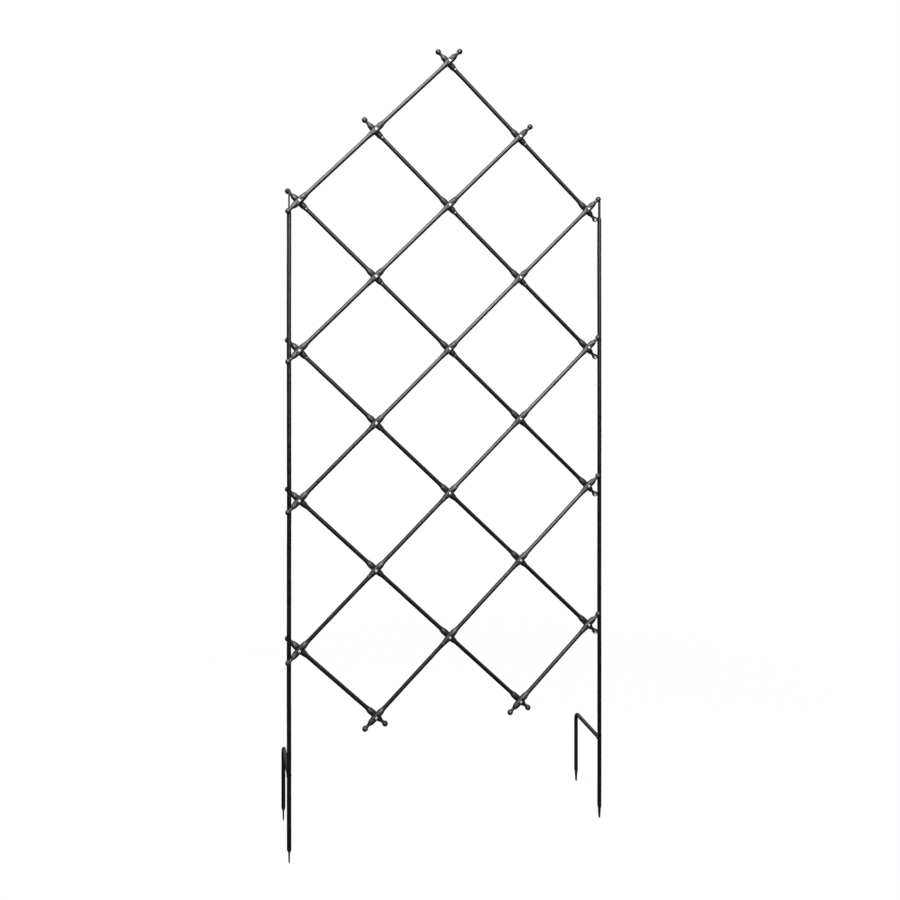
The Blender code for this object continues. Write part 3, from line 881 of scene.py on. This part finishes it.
def dress_bar(layer, number, line):
    """Rod, finials, gable collar and ball welds of one bar. A finial's collar half is the one that
    points along the bar: the upper at the low end, the lower at the high end."""
    low_half, high_half = HALVES[layer]
    ends = (("low", -1, line[0], high_half), ("high", 1, line[-1], low_half))
    cad_bar = "%s_bar_%d" % (layer, number)
    wear(rod_piece("%s_rod_%d" % (layer, number), layer, line), ROD_PAINT, "bar_paint", cad_bar)
    for word, end, place, inner_half in ends:
        name = "%s_finial_%d_%s" % (layer, number, word)
        finial = finial_piece(name, layer, place, end, inner_half)
        wear(finial, CASTING_PAINT, "bar_paint", cad_bar)
    for place in line[1:-1]:
        if place not in INNER:
            name = "%s_gable_collar_%d" % (layer, number)
            collar = collar_piece(name, layer, place, HALVES[layer])
            wear(collar, CASTING_PAINT, "bar_paint", cad_bar)
    for word, end, place, _ in ends:
        side = end_side(layer, end)
        if laps_post(place, side):
            name = "%s_ball_weld_%d_%s" % (layer, number, word)
            wear(ball_weld(name, layer, place, side, end), WELD_PAINT, "post_paint")


for layer in LEAN:
    for number, line in enumerate(bar_lines(layer), start=1):
        dress_bar(layer, number, line)
    for number, place in enumerate(INNER, start=1):
        casting = collar_piece("%s_casting_%02d" % (layer, number), layer, place, HALVES[layer])
        wear(casting, CASTING_PAINT, "collar_paint", "%s_collar_%02d" % (layer, number))

for number, place in enumerate(crossings(), start=1):
    rivet = rivet_piece("button_rivet_%02d" % number, place)
    wear(rivet, ZINC, "rivet_zinc", "rivet_%02d" % number)

for word, side in (("left", -1), ("right", 1)):
    wear(post_piece(word + "_forged_post", side), POST_PAINT, "post_paint", word + "_post")
    wear(prong_piece(word + "_forged_prong", side), PRONG_PAINT, "prong_paint", word + "_prong")
    wear(prong_weld(word + "_prong_weld", side), WELD_PAINT, "prong_paint")


# Studio

FLOOR_HALF = 12
FLOOR_CELLS = 8
FLOOR_BELOW_TIPS = 0.0005

# Camera fitted to the photograph: focal length and shift in pixels of its frame, width of the
# sensor in mm, place from the lattice's middle line at soil level, and turn in degrees
FRAME_PIXELS = 900.0
FOCAL_PIXELS = 950.8
HORIZON_SHIFT_PIXELS = -141.0
SENSOR = 36.0
CAMERA_PLACE = (-0.558, -2.134, 1.0431)
CAMERA_TURN = -14.73


def area_light(name, place, aim, size, power):
    """Soft square lamp at a place, facing a point."""
    lamp = bpy.data.lights.new(name, "AREA")
    lamp.shape = "SQUARE"
    lamp.size = size
    lamp.energy = power
    holder = bpy.data.objects.new(name, lamp)
    way = np.array(aim, float) - np.array(place, float)
    level = math.hypot(way[0], way[1])
    holder.location = place
    holder.rotation_euler = (math.atan2(level, -way[2]), 0, math.atan2(-way[0], way[1]))
    bpy.context.scene.collection.objects.link(holder)


def floor_material():
    """Pale floor that keeps a soft shadow: dark paint, lifted to white where the camera sees it,
    and fully white further out, so that it has no horizon."""
    material, tree, shader = new_material("white_floor")
    shader.inputs["Base Color"].default_value = (0.05, 0.05, 0.05, 1)
    shader.inputs["Roughness"].default_value = 0.9
    shader.inputs["Specular IOR Level"].default_value = 0.0
    shader.inputs["Emission Color"].default_value = (1, 1, 1, 1)
    ray = node(tree, "ShaderNodeLightPath")
    away = node(tree, "ShaderNodeVectorMath", operation="LENGTH")
    feed(tree, away.inputs[0], object_place(tree))
    lift = spread(tree, away.outputs["Value"], 1.2, 3.5, 0.955, 1.0)
    seen = math_node(tree, "MULTIPLY", ray.outputs["Is Camera Ray"], lift)
    feed(tree, shader.inputs["Emission Strength"], seen)
    return material


def grid_floor():
    """Flat square floor just below the posts' tips."""
    t = np.linspace(-FLOOR_HALF, FLOOR_HALF, FLOOR_CELLS + 1)
    x, y = np.meshgrid(t, t)
    points = np.stack([x, y, np.full_like(x, POST_TIP - FLOOR_BELOW_TIPS)], axis=2).reshape(-1, 3)
    row, column = np.meshgrid(np.arange(FLOOR_CELLS), np.arange(FLOOR_CELLS), indexing="ij")
    width = FLOOR_CELLS + 1
    a = (row * width + column).ravel()
    quads = np.stack([a, a + 1, a + width + 1, a + width], axis=1)
    mesh = bpy.data.meshes.new("floor")
    mesh.from_pydata(points.tolist(), [], quads.tolist())
    floor = bpy.data.objects.new("floor", mesh)
    bpy.context.scene.collection.objects.link(floor)
    return floor


def white_world():
    """Room that is white to the camera and lights the part from above, dark below the horizon."""
    world = bpy.data.worlds.new("white_studio")
    bpy.context.scene.world = world
    world.use_nodes = True
    tree = world.node_tree
    back = tree.nodes["Background"]
    ray = node(tree, "ShaderNodeLightPath")
    generated = node(tree, "ShaderNodeTexCoord").outputs["Generated"]
    way = node(tree, "ShaderNodeSeparateXYZ", Vector=generated)
    room = spread(tree, way.outputs["Z"], -0.10, 0.20, 0.01, 0.35)
    seen = node(tree, "ShaderNodeMix", data_type="FLOAT")
    for i, given in ((0, ray.outputs["Is Camera Ray"]), (2, room), (3, 1.0)):
        feed(tree, seen.inputs[i], given)
    feed(tree, back.inputs["Strength"], seen.outputs[0])
    back.inputs["Color"].default_value = (1, 1, 1, 1)


def studio():
    """White floor and room, a soft key from the upper left, a bank in front and a weak rim."""
    bpy.context.scene.view_settings.view_transform = "Standard"
    white_world()
    floor = grid_floor()
    floor.data.materials.append(floor_material())
    area_light("key_overhead_left", (-1.15, -1.60, 3.30), (0, 0, 1.05), size=2.0, power=100)
    area_light("bank_before", (0.10, -3.3, 2.15), (0, 0, 1.1), size=2.8, power=62)
    area_light("rim_behind", (0.8, 2.6, 2.6), (0, 0, 0.9), size=1.4, power=10)


def camera():
    """Level camera at the photograph's place, its frame shifted down over the trellis."""
    lens = bpy.data.cameras.new("photo_camera")
    lens.sensor_width = SENSOR
    lens.lens = SENSOR * FOCAL_PIXELS / FRAME_PIXELS
    lens.shift_y = HORIZON_SHIFT_PIXELS / FRAME_PIXELS
    holder = bpy.data.objects.new("photo_camera", lens)
    holder.location = (CAMERA_PLACE[0] + LATTICE_SHIFT, *CAMERA_PLACE[1:])
    holder.rotation_euler = (math.pi / 2, 0, math.radians(CAMERA_TURN))
    bpy.context.scene.collection.objects.link(holder)
    bpy.context.scene.camera = holder


studio()
camera()
